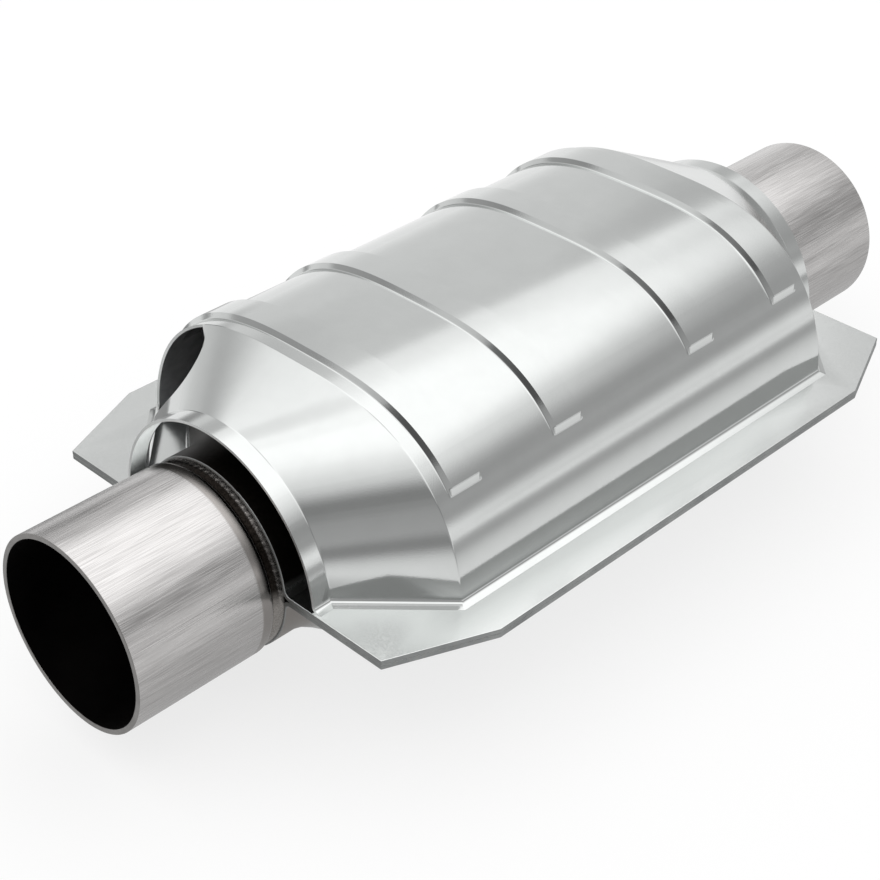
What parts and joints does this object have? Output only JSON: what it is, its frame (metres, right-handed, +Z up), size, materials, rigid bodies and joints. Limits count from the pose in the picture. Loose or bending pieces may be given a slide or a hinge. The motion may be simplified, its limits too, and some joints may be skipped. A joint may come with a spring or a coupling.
{
  "type": "catalytic converter",
  "caption": "Slip-on catalytic converter: oval clamshell body with an octagonal flange, round pipe ends and a ribbed upper heat shield.",
  "frame": {"origin": "on the ground under the middle of the lower shell, on the centre lines of the flange", "axes": "+X along the gas path from inlet to outlet, +Z up through the heat shield, +Y across the flange"},
  "size_m": [0.3302, 0.1634, 0.095],
  "materials": {
    "shell": "pressed stainless sheet, smooth satin",
    "shield": "bright aluminised sheet, smooth with a fine grain",
    "pipe": "brushed along its length",
    "weld": "dark heat-tinted weld bead",
    "ceramic": "matt fired ceramic with a catalyst coating",
    "mat": "matt mineral fibre",
    "mesh": "knitted steel wire"
  },
  "bodies": {
    "root": {"upper_shell": "shell", "lower_shell": "shell", "heat_shield": "shield", "inlet_pipe": "pipe", "outlet_pipe": "pipe", "inlet_weld": "weld", "outlet_weld": "weld", "front_brick": "ceramic", "rear_brick": "ceramic", "front_mat": "mat", "rear_mat": "mat", "front_brick_inlet_seal": "mesh", "front_brick_outlet_seal": "mesh", "rear_brick_inlet_seal": "mesh", "rear_brick_outlet_seal": "mesh"}
  },
  "joints": []
}
